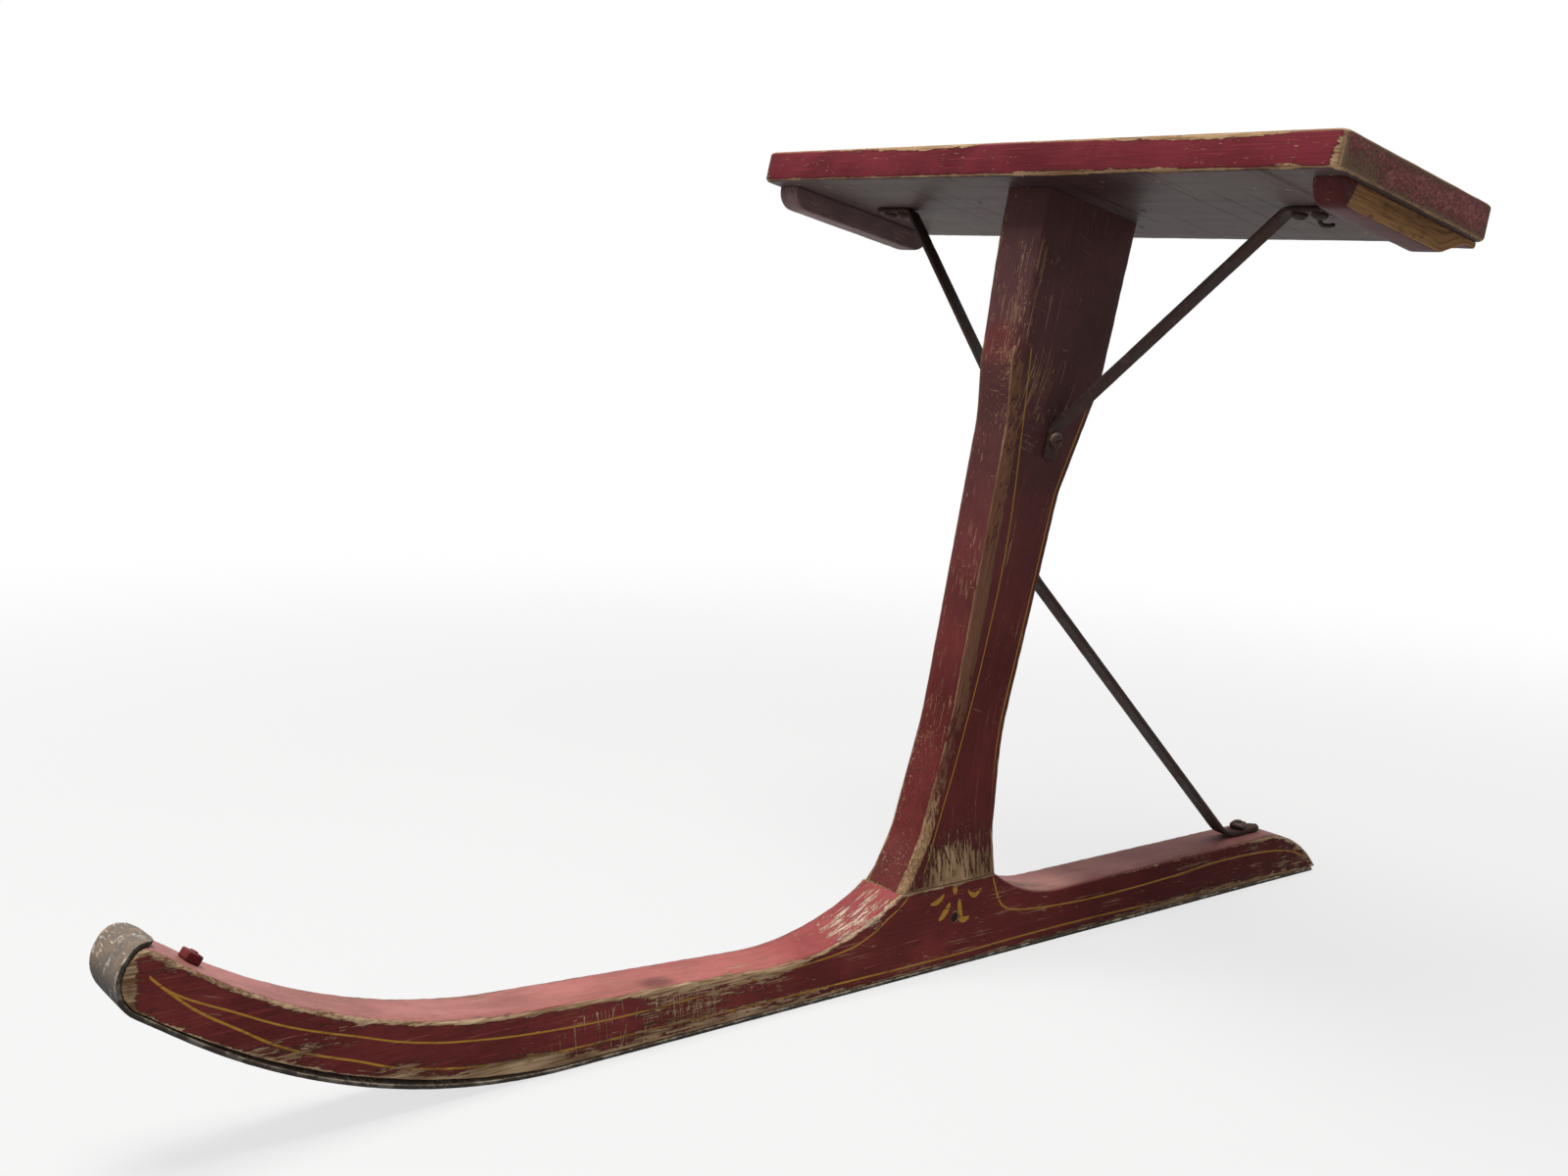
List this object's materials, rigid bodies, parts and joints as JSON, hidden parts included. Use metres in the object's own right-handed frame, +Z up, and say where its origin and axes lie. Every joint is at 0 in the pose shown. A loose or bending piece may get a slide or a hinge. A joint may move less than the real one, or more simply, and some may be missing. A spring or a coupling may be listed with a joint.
{
  "type": "jack jumper sled",
  "caption": "Single-runner wooden sled: upturned steel-shod runner, leaning post, crosswise seat board and flat iron braces, in worn red paint.",
  "frame": {"origin": "on the floor, under the middle of the overall length and of the seat", "axes": "+X towards the upturned nose, +Y to the rider's left, +Z up"},
  "size_m": [0.8525, 0.45, 0.4848],
  "materials": {
    "runner_paint": "old dark red paint over hardwood, edges worn to bare tan wood, ochre pinstripes",
    "post_paint": "old dark red paint over hardwood, worn chamfers, ochre pinstripes",
    "seat_paint": "old red paint over wood, edges worn to bare tan wood",
    "cleat_bare": "dark red paint worn off to bare tan wood on the outer face",
    "cleat_paint": "old dark red paint",
    "peg_wood": "dark end grain",
    "worn_steel": "worn, scratched and lightly rusted steel strap",
    "dark_iron": "dark brown-black aged iron strap",
    "fixing_iron": "brown aged iron",
    "painted_nut": "red paint over iron"
  },
  "bodies": {
    "root": {"runner": "runner_paint", "runner_shoe": "worn_steel", "post": "post_paint", "tenon_peg": "peg_wood", "seat_board": "seat_paint", "cleat_left": "cleat_bare", "cleat_right": "cleat_paint", "brace_left": "dark_iron", "brace_right": "dark_iron", "brace_rear": "dark_iron", "post_bolt": "fixing_iron", "post_nut": "fixing_iron", "rear_bolt": "fixing_iron", "rear_nut": "fixing_iron", "rear_screw": "fixing_iron", "nose_bolt": "painted_nut", "seat_screw_1": "fixing_iron", "seat_screw_2": "fixing_iron", "seat_screw_3": "fixing_iron", "seat_screw_4": "fixing_iron"}
  },
  "joints": []
}
